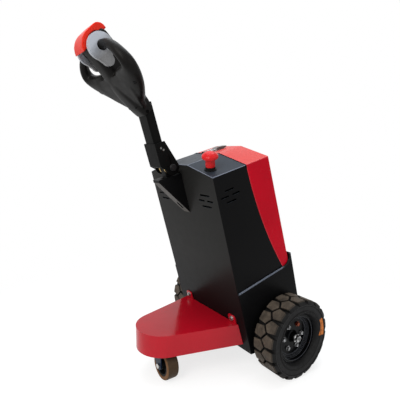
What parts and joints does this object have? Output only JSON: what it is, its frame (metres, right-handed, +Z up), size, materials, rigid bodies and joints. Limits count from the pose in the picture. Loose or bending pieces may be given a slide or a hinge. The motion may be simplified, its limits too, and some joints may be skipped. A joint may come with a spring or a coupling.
{
  "type": "electric tow tractor",
  "caption": "Walk-behind electric tow tractor: leaning black tower with red rear cover, block-tread drive wheels, foot platform on a swivel caster, and a folding tiller with hand loops.",
  "frame": {"origin": "on the ground at the middle of the bounding box", "axes": "+X from the operator's end to the hitch, +Y to the operator's left, +Z up"},
  "size_m": [0.969, 0.735, 1.3513],
  "materials": {
    "black_coat": "semi-gloss powder coat",
    "red_cover": "gloss paint",
    "collar_coat": "semi-gloss powder coat",
    "floor_coat": "matt paint",
    "battery_case": "matt dark case",
    "gear_case": "cast, satin",
    "motor_coat": "matt paint",
    "bright_steel": "zinc plated",
    "dark_steel": "blackened",
    "brass": "plain",
    "black_plastic": "fine grain",
    "red_plastic": "gloss",
    "silver_plastic": "satin",
    "tyre_rubber": "matt, dusty",
    "rim_coat": "satin paint",
    "hub_steel": "turned",
    "fork_coat": "semi-gloss paint",
    "caster_core_plastic": "moulded",
    "caster_tread": "satin"
  },
  "bodies": {
    "chassis": {"tower_shell": "black_coat", "rear_cover": "red_cover", "base_collar": "collar_coat", "floor_plate": "floor_coat", "battery_pack": "battery_case", "transaxle": "gear_case", "drive_motor": "motor_coat", "caster_platform": "red_cover", "platform_bolts": "bright_steel", "caster_beam": "floor_coat", "caster_top_plate": "fork_coat", "tiller_mount": "black_coat", "pivot_bushes": "brass", "pivot_bolt": "dark_steel", "stop_base": "black_plastic", "stop_button": "red_plastic", "cover_latch": "dark_steel", "hitch_bracket": "collar_coat", "tow_pin": "bright_steel"},
    "wheel_right": {"tyre_right": "tyre_rubber", "rim_right": "rim_coat", "hub_right": "hub_steel", "wheel_bolts_right": "bright_steel"},
    "wheel_left": {"tyre_left": "tyre_rubber", "rim_left": "rim_coat", "hub_left": "hub_steel", "wheel_bolts_left": "bright_steel"},
    "caster_swivel": {"caster_fork": "fork_coat", "caster_axle": "bright_steel"},
    "caster_wheel": {"caster_core": "caster_core_plastic", "caster_tread": "caster_tread"},
    "tiller": {"tiller_bracket": "collar_coat", "bracket_screws": "bright_steel", "tiller_arm": "black_coat", "head_body": "black_plastic", "head_loops": "black_plastic", "thumb_levers": "silver_plastic", "belly_button": "red_plastic"}
  },
  "joints": [
    {"name": "wheel_right_spin", "type": "hinge", "parent": "chassis", "child": "wheel_right", "pos_m": [0.25744, -0.3155, 0.165], "axis": [0, 1, 0], "continuous": true},
    {"name": "wheel_left_spin", "type": "hinge", "parent": "chassis", "child": "wheel_left", "pos_m": [0.25744, 0.3155, 0.165], "axis": [0, 1, 0], "continuous": true},
    {"name": "caster_swivel_turn", "type": "hinge", "parent": "chassis", "child": "caster_swivel", "pos_m": [-0.18817, 0, 0.14], "axis": [0, 0, 1], "continuous": true},
    {"name": "caster_roll", "type": "hinge", "parent": "caster_swivel", "child": "caster_wheel", "pos_m": [-0.18817, -0.043, 0.062], "axis": [1, 0, 0], "continuous": true},
    {"name": "tiller_fold", "type": "hinge", "parent": "chassis", "child": "tiller", "pos_m": [-0.14873, 0, 0.86378], "axis": [0, -1, 0], "range_deg": [0, 45], "stiffness_Nm_per_rad": 40, "springref_deg": -34.38}
  ]
}
